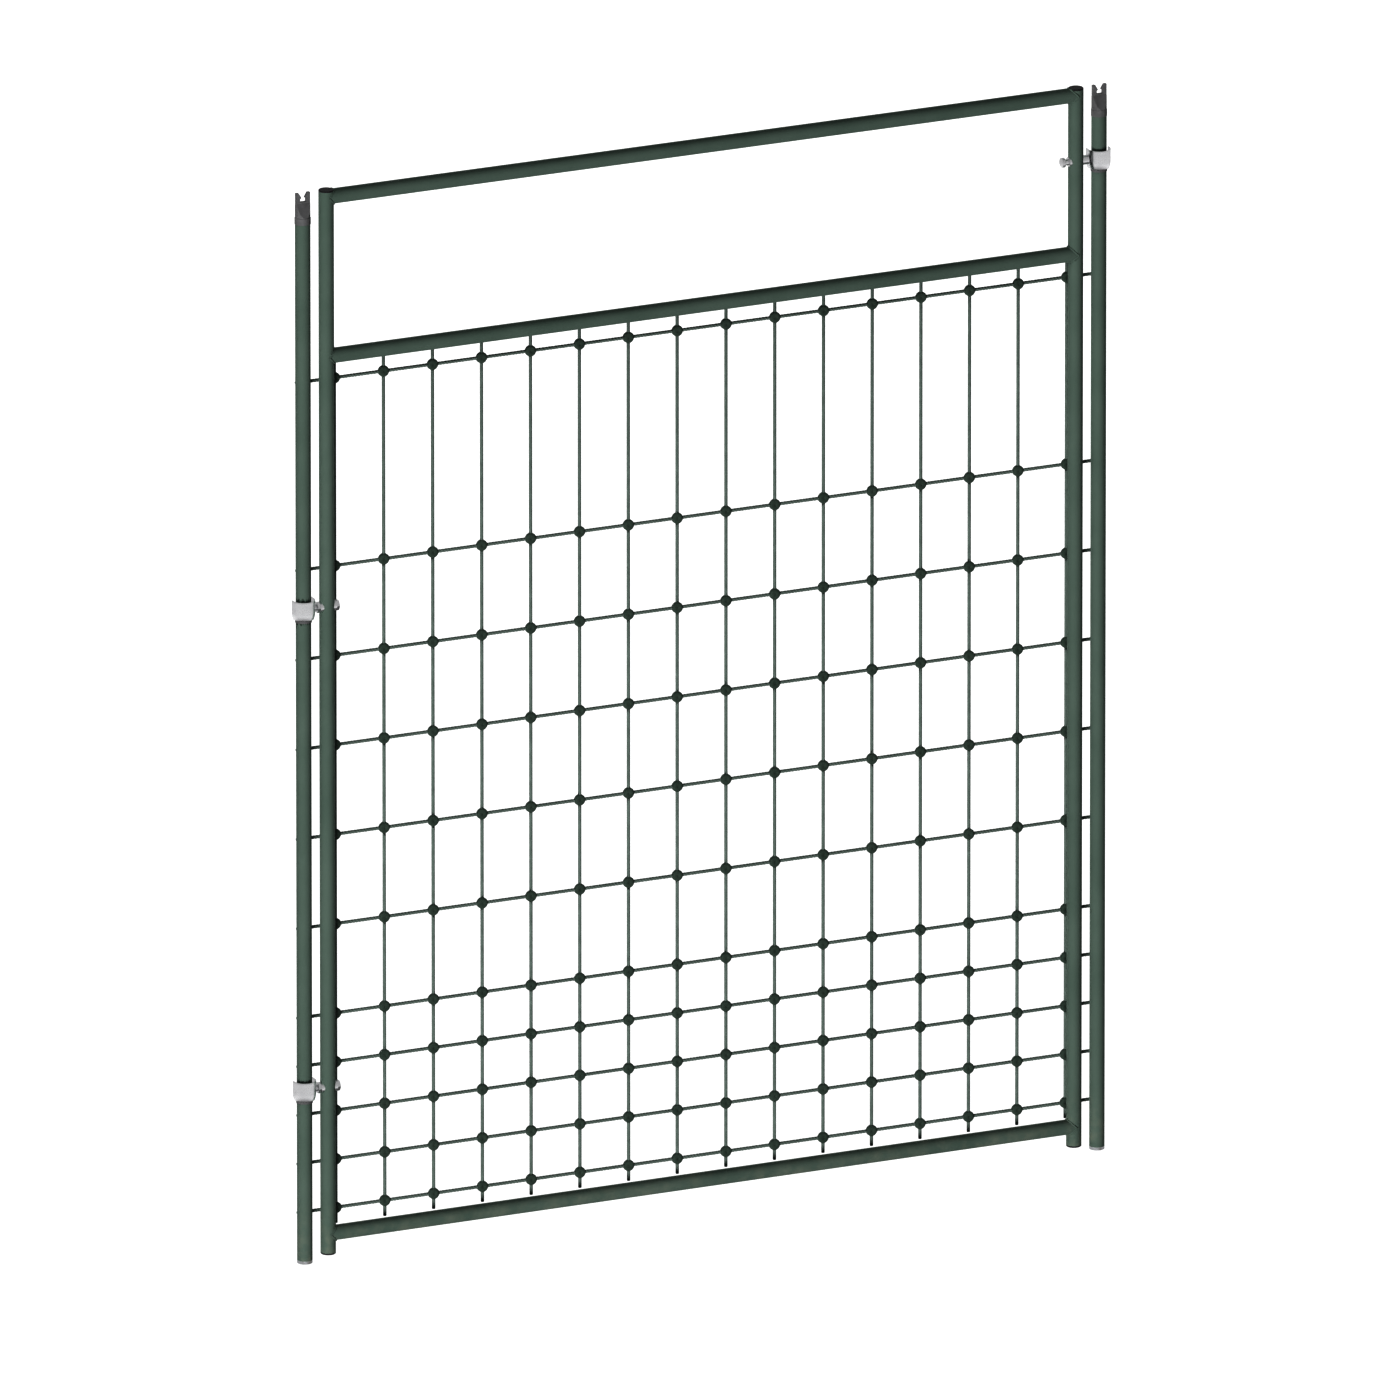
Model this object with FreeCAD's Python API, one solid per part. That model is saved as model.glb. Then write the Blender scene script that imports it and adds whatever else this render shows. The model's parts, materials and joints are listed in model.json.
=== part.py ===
import FreeCAD, Part
import math
import os

# A walk-through gate for electric sheep netting: a tube frame with a strand net,
# hung by two clamps on one ground post and held by a push bolt at the other.
# Millimetres. Origin: hinge post axis at ground level. +X runs along the closed
# gate to the latch post, +Y is the side the gate opens to, +Z is up.

os.makedirs("parts", exist_ok=True)
V = FreeCAD.Vector
UP = V(0, 0, 1)

# ---- Driving dimensions -------------------------------------------------------

# Overall layout
frame_width = 1074.0          # between the two stiles' axes
frame_top = 1456.0            # crown of the top rail, and the posts' caps, above ground
frame_lift = 8.0              # underside of the stiles above ground
window_height = 216.0         # top rail's axis down to the mid rail's axis
bottom_rail_z = 35.0          # bottom rail's axis above ground

# Tubes
tube_r = 10.0                 # posts, stiles and rails are all one tube
tube_wall = 1.5
plug_flange = 2.0             # visible rim of the plugs in the stiles' ends
plug_depth = 16.0
edge_break = 0.6              # small chamfer on moulded rims

# Ground spikes
spike_rod_r = 5.0
spike_length = 200.0          # below ground, tip included
spike_tip = 22.0
spike_tip_r = 0.8
spike_shoulder = 4.0          # shoulder the post stands on
spike_plug = 26.0             # part of the spike inside the post

# Post caps, with a keyhole slot for the fence cord
cap_height = 42.0
cap_skirt_height = 9.0
cap_skirt_extra = 0.5         # the skirt stands proud of the tube by this
cap_plug = 24.0
blade_height = 14.0           # flat tongue at the top of the cap, which thins up to it
blade_t = 4.5
slot_mouth = 12.6             # V mouth's width
slot_neck = 5.0
slot_neck_depth = 6.6
slot_hole = 8.8               # width of the pocket under the neck
slot_depth = 12.2
slot_flare = 1.1              # height over which the neck opens to the pocket

# Clamps round the posts: sheet saddle, rear keeper strap, nylon liner
liner_wall = 2.4              # at its thinnest, behind the post
clamp_height = 26.0
saddle_t = 2.0
keeper_t = 1.0
keeper_height = 14.0
keeper_lap = 6.6              # how far the keeper runs forward inside the saddle
long_leg = 8.0                # saddle's leg beside the stile
short_leg = 3.0
liner_top = 7.0               # liner's top above the clamp's middle
clamp_gap = 8.1               # saddle to stile, along X
run_gap = 0.05                # radial running clearance
thrust_gap = 0.1              # liner above its stop collar
collar_extra = 0.9            # collar's wall round the post
collar_height = 4.0
collar_screw_r = 1.1
collar_screw_head_r = 1.8
strike_screw_r = 1.6
strike_screw_head_r = 2.9
screw_head = 1.3
screw_point = 3.0             # screws end this far inside the tube's wall
upper_hinge_bay = 8.6         # place among the net lines, whose lowest is 0
lower_hinge_bay = 2.585
latch_drop = 100.0            # strike and bolt below the top of the frame

# Hinge studs, M8
stud_r = 4.0
stud_hole_gap = 0.25
nut_across = 13.0
nut_height = 4.0              # thin nuts
nut_face_share = 1.06         # chamfer circle over the width across flats
washer_r = 7.2
washer_t = 1.5                # thinnest place, at the crown of the stile
stud_proud = 1.0

# Latch bolt
bolt_r = 4.0
bolt_nose = 1.2
bolt_travel = 5.0
bolt_setback = 0.3            # drawn-back tip inside the ferrule's face
strike_gap = 1.0              # ferrule's face to the strike saddle
strike_hole_gap = 0.6
ferrule_r = 6.3
spigot_r = 5.2
spigot_depth = 3.5            # from the tube's outside into its bore
inner_flange = 1.0
knob_r = 6.5
knob_length = 5.0
knob_gap = 0.3                # thrown knob to the inner flange
knob_socket = 4.0
stop_ring_r = 5.4
stop_ring_t = 1.2
stop_ring_gap = 0.2
pin_r = 1.0

# Strand net
strand_r = 2.3
low_line_z = 64.2             # lowest line above ground
top_line_drop = 35.2          # top line below the mid rail's axis
line_steps = [1.0] * 4 + [1.835] * 5 + [3.84]   # spacing, graded from the bottom
first_upright = 17.5          # from the hinge stile's axis
last_upright = 6.0            # before the latch stile's axis
upright_spacing = 70.0        # wanted; evened out over the width
upright_tail = 21.0           # below the lowest line
upright_head = 2.0            # stops below the mid rail's axis
hinge_tail = 4.5              # lines run past the hinge post's axis
latch_tail = 16.0             # lines run past the latch post's axis
knot_r = 7.25
knot_t = 7.0
knot_rim_t = 3.2
knot_face_r = 5.2
knot_socket = 3.2             # upright's end above the line's axis
net_gap = 0.3                 # knots behind the tubes

# Strand clips behind the stiles
clip_width = 7.0
clip_above = 5.0
clip_below = 9.0
clip_back = 1.6               # wall behind the strand
clip_rivet_drop = 5.2
clip_rivet_tail = 2.0
rivet_r = 1.6
rivet_head_r = 2.8
rivet_head = 1.0
hinge_clip_turn = 10.0        # degrees round the stile, towards +X
latch_clip_turn = 26.0        # further round, clear of the last knots

# ---- Derived places -----------------------------------------------------------

clamp_r = tube_r + liner_wall + keeper_t + saddle_t
side_gap = clamp_r + clamp_gap + tube_r
hinge_stile_x = side_gap
latch_stile_x = hinge_stile_x + frame_width
latch_post_x = latch_stile_x + side_gap
bore_r = tube_r - tube_wall
post_top = frame_top
post_tube_top = post_top - cap_height
stile_low = frame_lift + plug_flange
stile_high = frame_top - plug_flange
top_rail_z = frame_top - tube_r
mid_rail_z = top_rail_z - window_height
net_y = tube_r + net_gap + knot_t / 2
top_line_z = mid_rail_z - top_line_drop
line_unit = (top_line_z - low_line_z) / sum(line_steps)
line_zs = [low_line_z + line_unit * sum(line_steps[:i]) for i in range(len(line_steps) + 1)]


def level_in_bay(bay):
    """Height of a place among the net lines: 2.5 is halfway up the bay above line 2."""
    line = int(bay)
    return line_zs[line] + (bay - line) * (line_zs[line + 1] - line_zs[line])


upright_run = frame_width - first_upright - last_upright
upright_bays = round(upright_run / upright_spacing)
upright_xs = [hinge_stile_x + first_upright + upright_run * i / upright_bays
              for i in range(upright_bays + 1)]
keeper_r = clamp_r - saddle_t
liner_r = keeper_r - keeper_t
clamp_low = -clamp_height / 2
ferrule_face = latch_post_x - clamp_r - strike_gap
inner_face = latch_stile_x - tube_r - inner_flange
knob_face = inner_face - bolt_travel - knob_gap
inner_washer_face = hinge_stile_x + tube_r + washer_t
outer_washer_face = hinge_stile_x - tube_r - washer_t
clamp_levels = {"upper": level_in_bay(upper_hinge_bay), "lower": level_in_bay(lower_hinge_bay)}
latch_z = frame_top - latch_drop


# ---- Shape helpers ------------------------------------------------------------

def rod(radius, start, end):
    """A solid cylinder from one point to another."""
    run = end - start
    return Part.makeCylinder(radius, run.Length, start, run)


def tube(outer, inner, start, end):
    return rod(outer, start, end).cut(rod(inner, start, end))


def block(low, high):
    return Part.makeBox(high.x - low.x, high.y - low.y, high.z - low.z, low)


def turned(profile, foot, axis=UP):
    """A solid turned from (radius, height) corners about an axis through foot."""
    across = V(0, 0, 1) if axis.x or axis.y else V(1, 0, 0)
    corners = [foot + across * r + axis * h for r, h in profile]
    return Part.Face(Part.makePolygon(corners + corners[:1])).revolve(foot, axis, 360)


def moved(shape, offset):
    copy = shape.copy()
    copy.translate(offset)
    return copy


def only_solid(shape):
    """The one solid a boolean leaves, with its split faces merged."""
    return shape.removeSplitter().Solids[0]


def save(node, shape):
    shape.exportStep("parts/" + node + ".step")


def save_group(node, solids):
    save(node, Part.makeCompound(solids))


# ---- Posts --------------------------------------------------------------------

def post_tube(x, screws):
    """A post with its (level, radius) screw holes in the back."""
    post = tube(tube_r, bore_r, V(x, 0, spike_shoulder), V(x, 0, post_tube_top))
    for z, radius in screws:
        post = post.cut(back_hole(x, z, radius))
    return only_solid(post)


def back_hole(x, z, radius):
    return rod(radius, V(x, 0, z), V(x, 2 * clamp_r, z))


def post_spike(x):
    profile = [
        (0, spike_shoulder + spike_plug), (bore_r - edge_break, spike_shoulder + spike_plug),
        (bore_r, spike_shoulder + spike_plug - edge_break), (bore_r, spike_shoulder),
        (tube_r, spike_shoulder), (tube_r, 0), (spike_rod_r, 0),
        (spike_rod_r, spike_tip - spike_length), (spike_tip_r, -spike_length), (0, -spike_length)]
    return turned(profile, V(x, 0, 0))


def cap_slot_outline(x):
    """Keyhole outline: V mouth, neck, then a wider pocket."""
    steps = [(slot_mouth, 0), (slot_neck, slot_neck_depth),
             (slot_hole, slot_neck_depth + slot_flare), (slot_hole, slot_depth)]
    left = [V(x - width / 2, 0, post_top - depth) for width, depth in steps]
    right = [V(x + width / 2, 0, post_top - depth) for width, depth in reversed(steps)]
    return left + right


def post_cap(x):
    skirt_r = tube_r + cap_skirt_extra
    skirt_top = post_tube_top + cap_skirt_height
    profile = [
        (0, post_tube_top - cap_plug), (bore_r - edge_break, post_tube_top - cap_plug),
        (bore_r, post_tube_top - cap_plug + edge_break), (bore_r, post_tube_top),
        (skirt_r, post_tube_top), (skirt_r, skirt_top - cap_skirt_extra), (tube_r, skirt_top),
        (tube_r, post_top), (0, post_top)]
    cap = turned(profile, V(x, 0, 0))
    reach = tube_r * 2
    for way in (-1, 1):
        corners = [V(x - reach, way * y, z) for y, z in (
            (tube_r, skirt_top), (blade_t / 2, post_top - blade_height), (blade_t / 2, post_top + reach),
            (reach, post_top + reach), (reach, skirt_top))]
        cap = cap.cut(Part.Face(Part.makePolygon(corners + corners[:1])).extrude(V(2 * reach, 0, 0)))
    outline = cap_slot_outline(x)
    slot = Part.Face(Part.makePolygon(outline + outline[:1])).extrude(V(0, 2 * reach, 0))
    return only_solid(cap.cut(moved(slot, V(0, -reach, 0))))


def stop_collar(x, clamp_z):
    """Ring under a clamp, held by a screw from behind."""
    top = clamp_z + clamp_low
    ring = tube(tube_r + collar_extra, tube_r, V(x, 0, top - collar_height), V(x, 0, top))
    return only_solid(ring.cut(back_hole(x, collar_screw_level(clamp_z), collar_screw_r)))


def collar_screw_level(clamp_z):
    return clamp_z + clamp_low - collar_height / 2


def back_screw(x, z, surface, radius, head_r):
    """Self-tapping screw driven into a post from behind."""
    point = bore_r - screw_point
    profile = [(0, point), (radius, point + radius), (radius, surface), (head_r, surface),
               (head_r - screw_head / 2, surface + screw_head), (0, surface + screw_head)]
    return turned(profile, V(x, 0, z), V(0, 1, 0))


def collar_screw(x, clamp_z):
    return back_screw(x, collar_screw_level(clamp_z), tube_r + collar_extra,
                      collar_screw_r, collar_screw_head_r)


# ---- Clamps -------------------------------------------------------------------

def far_rivet_axis(x, z, side):
    """Start and end of the rivet line on the side away from the stile."""
    angle = math.asin(keeper_lap / 2 / keeper_r)
    out = V(-side * math.cos(angle), -math.sin(angle), 0)
    return V(x, 0, z) + out * (liner_r - keeper_t), V(x, 0, z) + out * (clamp_r + saddle_t)


def shell(outer, inner, x, low, high):
    return tube(outer, inner, V(x, 0, low), V(x, 0, high))


def clamp_saddle(x, z, side, hole_r):
    low, high = z + clamp_low, z - clamp_low
    front = shell(clamp_r, keeper_r, x, low, high).common(
        block(V(x - clamp_r, -clamp_r, low), V(x + clamp_r, 0, high)))
    legs = []
    for way, leg in ((side, long_leg), (-side, short_leg)):
        edges = sorted((x + way * keeper_r, x + way * clamp_r))
        legs.append(block(V(edges[0], 0, low), V(edges[1], leg, high)))
    saddle = front.fuse(legs)
    saddle = saddle.cut(rod(hole_r, V(x, 0, z), V(x + side * 2 * clamp_r, 0, z)))
    return only_solid(saddle.cut(rod(rivet_r, *far_rivet_axis(x, z, side))))


def keeper_zone(x, low, high):
    return block(V(x - clamp_r, -keeper_lap, low), V(x + clamp_r, clamp_r, high))


def clamp_keeper(x, z, side, hole_r, extra_cuts=()):
    low, high = z - keeper_height / 2, z + keeper_height / 2
    keeper = shell(keeper_r, liner_r, x, low, high).common(keeper_zone(x, low, high))
    keeper = keeper.cut(rod(hole_r, V(x, 0, z), V(x + side * 2 * clamp_r, 0, z)))
    keeper = keeper.cut(rod(rivet_r, *far_rivet_axis(x, z, side)))
    for cut in extra_cuts:
        keeper = keeper.cut(cut)
    return only_solid(keeper)


def clamp_liner(x, z, inner_r, low_gap, extra_cuts=()):
    """Nylon bush: thin where the keeper passes, full thickness in front."""
    low, high = z + clamp_low + low_gap, z + liner_top
    liner = shell(keeper_r, inner_r, x, low, high)
    groove = shell(clamp_r, liner_r, x, low, high).common(keeper_zone(x, low, high))
    liner = liner.cut(groove)
    for cut in extra_cuts:
        liner = liner.cut(cut)
    return only_solid(liner)


def flush_rivet(x, z, side):
    low, high = z - rivet_r * 2, z + rivet_r * 2
    body = rod(rivet_r, *far_rivet_axis(x, z, side))
    return only_solid(body.common(shell(clamp_r, liner_r, x, low, high)))


# ---- Gate frame ---------------------------------------------------------------

def clip_turn(stile_x):
    return hinge_clip_turn if stile_x == hinge_stile_x else latch_clip_turn


def clip_rivet_line(stile_x, line_z):
    """The rivet's radial direction and its level."""
    angle = math.radians(clip_turn(stile_x))
    return V(math.sin(angle), math.cos(angle), 0), V(stile_x, 0, line_z - clip_rivet_drop)


def stile(x, cross_holes):
    """A stile with its clip rivets' holes and its (level, radius) cross holes."""
    bar = tube(tube_r, bore_r, V(x, 0, stile_low), V(x, 0, stile_high))
    cuts = [rod(radius, V(x - 2 * tube_r, 0, z), V(x + 2 * tube_r, 0, z))
            for z, radius in cross_holes]
    for line_z in line_zs:
        out, middle = clip_rivet_line(x, line_z)
        cuts.append(rod(rivet_r, middle, middle + out * 2 * tube_r))
    return only_solid(bar.cut(Part.makeCompound(cuts)))


def rail(z):
    """A rail with fish-mouth ends that fit round both stiles."""
    bar = tube(tube_r, bore_r, V(hinge_stile_x, 0, z), V(latch_stile_x, 0, z))
    for x in (hinge_stile_x, latch_stile_x):
        bar = bar.cut(rod(tube_r, V(x, 0, z - 3 * tube_r), V(x, 0, z + 3 * tube_r)))
    return max(bar.Solids, key=lambda piece: piece.Volume)


def end_plug(x, z, way):
    """Plug for a stile's end at height z; way is +1 at the top and -1 at the foot."""
    profile = [
        (0, plug_flange), (tube_r - edge_break, plug_flange), (tube_r, plug_flange - edge_break),
        (tube_r, 0), (bore_r, 0), (bore_r, edge_break - plug_depth),
        (bore_r - edge_break, -plug_depth), (0, -plug_depth)]
    return turned([(r, way * h) for r, h in profile], V(x, 0, z))


# ---- Hinge studs --------------------------------------------------------------

def hex_nut(x, z):
    """A nut on the stud's axis, with its near face at x."""
    corner = nut_across / math.sqrt(3)
    points = [V(x, corner * math.cos(math.radians(60 * i)), z + corner * math.sin(math.radians(60 * i)))
              for i in range(6)]
    nut = Part.Face(Part.makePolygon(points + points[:1])).extrude(V(nut_height, 0, 0))
    round_r = nut_across / 2 * nut_face_share
    slope = corner - nut_across / 2
    barrel = turned([(0, 0), (round_r, 0), (round_r + slope, slope), (round_r + slope, nut_height - slope),
                     (round_r, nut_height), (0, nut_height)], V(x, 0, z), V(1, 0, 0))
    bore = rod(stud_r, V(x - nut_height, 0, z), V(x + 2 * nut_height, 0, z))
    return only_solid(nut.common(barrel).cut(bore))


def radius_washer(x, z, way):
    """A washer whose inner face fits the stile; way points off the stile."""
    crown = x + way * tube_r
    edges = V(x, 0, z), V(crown + way * washer_t, 0, z)
    washer = tube(washer_r, stud_r, *edges)
    return only_solid(washer.cut(rod(tube_r, V(x, 0, z - 2 * washer_r), V(x, 0, z + 2 * washer_r))))


def hinge_stud(z):
    """Welded into the saddle and keeper, and through the stile to the inner nut."""
    tip = inner_washer_face + nut_height + stud_proud
    profile = [(0, 0), (stud_r, 0), (stud_r, tip - liner_r - edge_break),
               (stud_r - edge_break, tip - liner_r), (0, tip - liner_r)]
    stud = turned(profile, V(liner_r, 0, z), V(1, 0, 0))
    return only_solid(stud.cut(rod(liner_r, V(0, 0, z - clamp_r), V(0, 0, z + clamp_r))))


# ---- Latch --------------------------------------------------------------------

def ferrule(face_x, radius):
    """Guide bush for the bolt: a collar outside the stile and a spigot in its wall."""
    way = 1 if face_x > latch_stile_x else -1
    collar = rod(radius, V(latch_stile_x, 0, latch_z), V(face_x, 0, latch_z))
    collar = collar.cut(rod(tube_r, V(latch_stile_x, 0, latch_z - 3 * tube_r),
                            V(latch_stile_x, 0, latch_z + 3 * tube_r)))
    spigot = rod(spigot_r, V(latch_stile_x + way * (tube_r - spigot_depth), 0, latch_z),
                 V(face_x - way * inner_flange / 2, 0, latch_z))
    bore = rod(bolt_r + run_gap, V(latch_stile_x, 0, latch_z), V(face_x + way, 0, latch_z))
    return only_solid(collar.fuse(spigot).cut(bore))


def latch_bolt():
    """Drawn back: the tip lies just inside the ferrule's face."""
    start = knob_face - knob_socket
    length = ferrule_face - bolt_setback - start
    profile = [(0, 0), (bolt_r, 0), (bolt_r, length - bolt_nose), (bolt_r - bolt_nose, length), (0, length)]
    return turned(profile, V(start, 0, latch_z), V(1, 0, 0))


def latch_knob():
    back = knob_face - knob_length
    profile = [(0, 0), (knob_r - edge_break, 0), (knob_r, edge_break), (knob_r, knob_length - edge_break),
               (knob_r - edge_break, knob_length), (0, knob_length)]
    knob = turned(profile, V(back, 0, latch_z), V(1, 0, 0))
    knob = knob.cut(rod(bolt_r, V(knob_face - knob_socket, 0, latch_z), V(knob_face + 1, 0, latch_z)))
    return only_solid(knob.cut(knob_pin_bar(knob_r * 2)))


def knob_pin_bar(depth):
    pin_x = knob_face - knob_length / 2
    return rod(pin_r, V(pin_x, 0, latch_z - bolt_r), V(pin_x, 0, latch_z - depth))


def bolt_stop_ring():
    start = latch_stile_x - tube_r + spigot_depth + stop_ring_gap
    return tube(stop_ring_r, bolt_r, V(start, 0, latch_z), V(start + stop_ring_t, 0, latch_z))


# ---- Net ----------------------------------------------------------------------

def net_line(z):
    return rod(strand_r, V(-hinge_tail, net_y, z), V(latch_post_x + latch_tail, net_y, z))


def upright_spans():
    """Heights of the pieces that one upright is made of, from knot to knot."""
    starts = [low_line_z - upright_tail] + [z + knot_socket for z in line_zs]
    ends = [z - knot_socket for z in line_zs] + [mid_rail_z - upright_head]
    return zip(starts, ends)


def net_uprights():
    return [rod(strand_r, V(x, net_y, low), V(x, net_y, high))
            for x in upright_xs for low, high in upright_spans()]


def knot_pattern():
    """One moulded knot at the origin: a chamfered disc with its strands' bores."""
    half, rim = knot_t / 2, knot_rim_t / 2
    disc = turned([(0, -half), (knot_face_r, -half), (knot_r, -rim), (knot_r, rim),
                   (knot_face_r, half), (0, half)], V(0, 0, 0), V(0, 1, 0))
    disc = disc.cut(rod(strand_r, V(-2 * knot_r, 0, 0), V(2 * knot_r, 0, 0)))
    for way in (1, -1):
        disc = disc.cut(rod(strand_r, V(0, 0, way * knot_socket), V(0, 0, way * 2 * knot_r)))
    return only_solid(disc)


def net_knots():
    knot = knot_pattern()
    return [moved(knot, V(x, net_y, z)) for x in upright_xs for z in line_zs]


def strand_clip(stile_x, line_z):
    half, back = clip_width / 2, net_y + strand_r + clip_back
    clip = block(V(-half, 0, -clip_below), V(half, back, clip_above))
    clip.rotate(V(0, 0, 0), UP, -clip_turn(stile_x))
    clip.translate(V(stile_x, 0, line_z))
    clip = clip.cut(rod(tube_r, V(stile_x, 0, line_z - 3 * tube_r), V(stile_x, 0, line_z + 3 * tube_r)))
    clip = clip.cut(net_line(line_z))
    out, middle = clip_rivet_line(stile_x, line_z)
    clip = clip.cut(rod(rivet_r, middle, middle + out * 3 * tube_r))
    return max(clip.removeSplitter().Solids, key=lambda piece: piece.Volume)


def clip_rivet(stile_x, line_z):
    """Blind rivet: head on the clip's back, bulged tail inside the stile."""
    out, middle = clip_rivet_line(stile_x, line_z)
    back = net_y + strand_r + clip_back
    profile = [(0, bore_r - clip_rivet_tail), (rivet_r, bore_r - clip_rivet_tail),
               (rivet_r, back), (rivet_head_r, back), (rivet_head_r - rivet_head / 2, back + rivet_head),
               (0, back + rivet_head)]
    return turned(profile, middle, out)


# ---- The posts' body ----------------------------------------------------------

strike_hole_r = bolt_r + strike_hole_gap
strike_hole = rod(strike_hole_r, V(latch_post_x, 0, latch_z), V(latch_stile_x, 0, latch_z))
strike_screw_hole = back_hole(latch_post_x, latch_z, strike_screw_r)
collars = [(0, level) for level in clamp_levels.values()] + [(latch_post_x, latch_z)]

save("hinge_post_tube", post_tube(0, [(collar_screw_level(z), collar_screw_r)
                                      for z in clamp_levels.values()]))
save("latch_post_tube", post_tube(latch_post_x, [(latch_z, strike_screw_r),
                                                 (collar_screw_level(latch_z), collar_screw_r)]))
for post, post_x in (("hinge", 0), ("latch", latch_post_x)):
    save(post + "_post_cap", post_cap(post_x))
    save(post + "_post_spike", post_spike(post_x))
for name, level in clamp_levels.items():
    save(name + "_stop_collar", stop_collar(0, level))
save("strike_collar", stop_collar(latch_post_x, latch_z))
save_group("collar_screws", [collar_screw(x, level) for x, level in collars])
save("strike_saddle", clamp_saddle(latch_post_x, latch_z, -1, strike_hole_r))
save("strike_keeper", clamp_keeper(latch_post_x, latch_z, -1, strike_hole_r, [strike_screw_hole]))
save("strike_liner", clamp_liner(latch_post_x, latch_z, tube_r, 0, [strike_hole, strike_screw_hole]))
save("strike_rivet", flush_rivet(latch_post_x, latch_z, -1))
save("strike_screw", back_screw(latch_post_x, latch_z, keeper_r, strike_screw_r, strike_screw_head_r))

# ---- The gate's body ----------------------------------------------------------

stud_hole_r = stud_r + stud_hole_gap
save("hinge_stile", stile(hinge_stile_x, [(z, stud_hole_r) for z in clamp_levels.values()]))
save("latch_stile", stile(latch_stile_x, [(latch_z, spigot_r)]))
for name, level in (("top", top_rail_z), ("mid", mid_rail_z), ("bottom", bottom_rail_z)):
    save(name + "_rail", rail(level))
for name, stile_x in (("hinge", hinge_stile_x), ("latch", latch_stile_x)):
    save(name + "_stile_top_plug", end_plug(stile_x, stile_high, 1))
    save(name + "_stile_foot_plug", end_plug(stile_x, stile_low, -1))
    save_group(name + "_stile_clips", [strand_clip(stile_x, z) for z in line_zs])
    save_group(name + "_clip_rivets", [clip_rivet(stile_x, z) for z in line_zs])
for name, level in clamp_levels.items():
    save(name + "_hinge_saddle", clamp_saddle(0, level, 1, stud_r))
    save(name + "_hinge_keeper", clamp_keeper(0, level, 1, stud_r))
    save(name + "_hinge_liner", clamp_liner(0, level, tube_r + run_gap, thrust_gap))
    save(name + "_hinge_stud", hinge_stud(level))
save_group("saddle_rivets", [flush_rivet(0, z, 1) for z in clamp_levels.values()])
save_group("inner_nuts", [hex_nut(inner_washer_face, z) for z in clamp_levels.values()])
save_group("adjusting_nuts", [hex_nut(outer_washer_face - nut_height, z) for z in clamp_levels.values()])
save_group("radius_washers", [radius_washer(hinge_stile_x, z, way)
                              for z in clamp_levels.values() for way in (1, -1)])
save("latch_outer_ferrule", ferrule(ferrule_face, ferrule_r))
save("latch_inner_ferrule", ferrule(inner_face, knob_r))
for number, level in enumerate(line_zs, 1):
    save("net_line_%02d" % number, net_line(level))
save_group("net_uprights", net_uprights())
save_group("net_knots", net_knots())

# ---- The latch bolt's body ----------------------------------------------------

save("latch_bolt", latch_bolt())
save("latch_knob", latch_knob())
save("latch_knob_pin", only_solid(knob_pin_bar(knob_r)))
save("bolt_stop_ring", bolt_stop_ring())
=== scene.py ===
import bpy
import json
import math
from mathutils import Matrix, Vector


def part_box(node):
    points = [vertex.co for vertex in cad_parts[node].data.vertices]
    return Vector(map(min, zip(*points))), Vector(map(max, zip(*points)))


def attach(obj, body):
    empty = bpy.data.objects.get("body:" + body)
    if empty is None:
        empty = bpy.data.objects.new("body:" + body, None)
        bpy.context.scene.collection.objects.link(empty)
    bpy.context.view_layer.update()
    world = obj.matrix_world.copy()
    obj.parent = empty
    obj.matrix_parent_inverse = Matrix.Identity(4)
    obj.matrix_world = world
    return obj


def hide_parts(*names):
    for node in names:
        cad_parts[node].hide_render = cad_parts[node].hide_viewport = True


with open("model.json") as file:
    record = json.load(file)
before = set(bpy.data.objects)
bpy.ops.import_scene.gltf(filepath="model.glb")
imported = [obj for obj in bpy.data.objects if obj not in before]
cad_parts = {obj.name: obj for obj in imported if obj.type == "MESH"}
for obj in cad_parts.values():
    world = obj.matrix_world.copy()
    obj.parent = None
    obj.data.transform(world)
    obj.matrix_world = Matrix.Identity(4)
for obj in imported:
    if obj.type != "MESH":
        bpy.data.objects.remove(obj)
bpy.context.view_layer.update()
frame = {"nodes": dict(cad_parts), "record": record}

# A walk-through gate for sheep netting. Metres, in the CAD model's frame:
# +X runs along the closed gate to the latch post, -Y is the front, +Z is up.

MM = 0.001

# ---- Sizes read from the CAD model ---------------------------------------------

LINES = sorted(name for name in frame["nodes"] if name.startswith("net_line_"))
RAILS = ("top", "mid", "bottom")
STILES = ("hinge", "latch")


def middle(node):
    low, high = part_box(node)
    return (low + high) / 2


def extent(node):
    low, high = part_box(node)
    return high - low


TUBE_R = extent("hinge_post_tube").x / 2
STRAND_R = extent(LINES[0]).z / 2
LINE_LEVELS = [middle(name).z for name in LINES]
NET_Y = middle(LINES[0]).y
KNOT_T = extent("net_knots").y
UPRIGHT_COUNT = 16
FIRST_UPRIGHT_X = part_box("net_uprights")[0].x + STRAND_R
LAST_UPRIGHT_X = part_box("net_uprights")[1].x - STRAND_R
UPRIGHT_PITCH = (LAST_UPRIGHT_X - FIRST_UPRIGHT_X) / (UPRIGHT_COUNT - 1)
KNOT_R = FIRST_UPRIGHT_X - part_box("net_knots")[0].x

# ---- Materials -----------------------------------------------------------------

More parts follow.
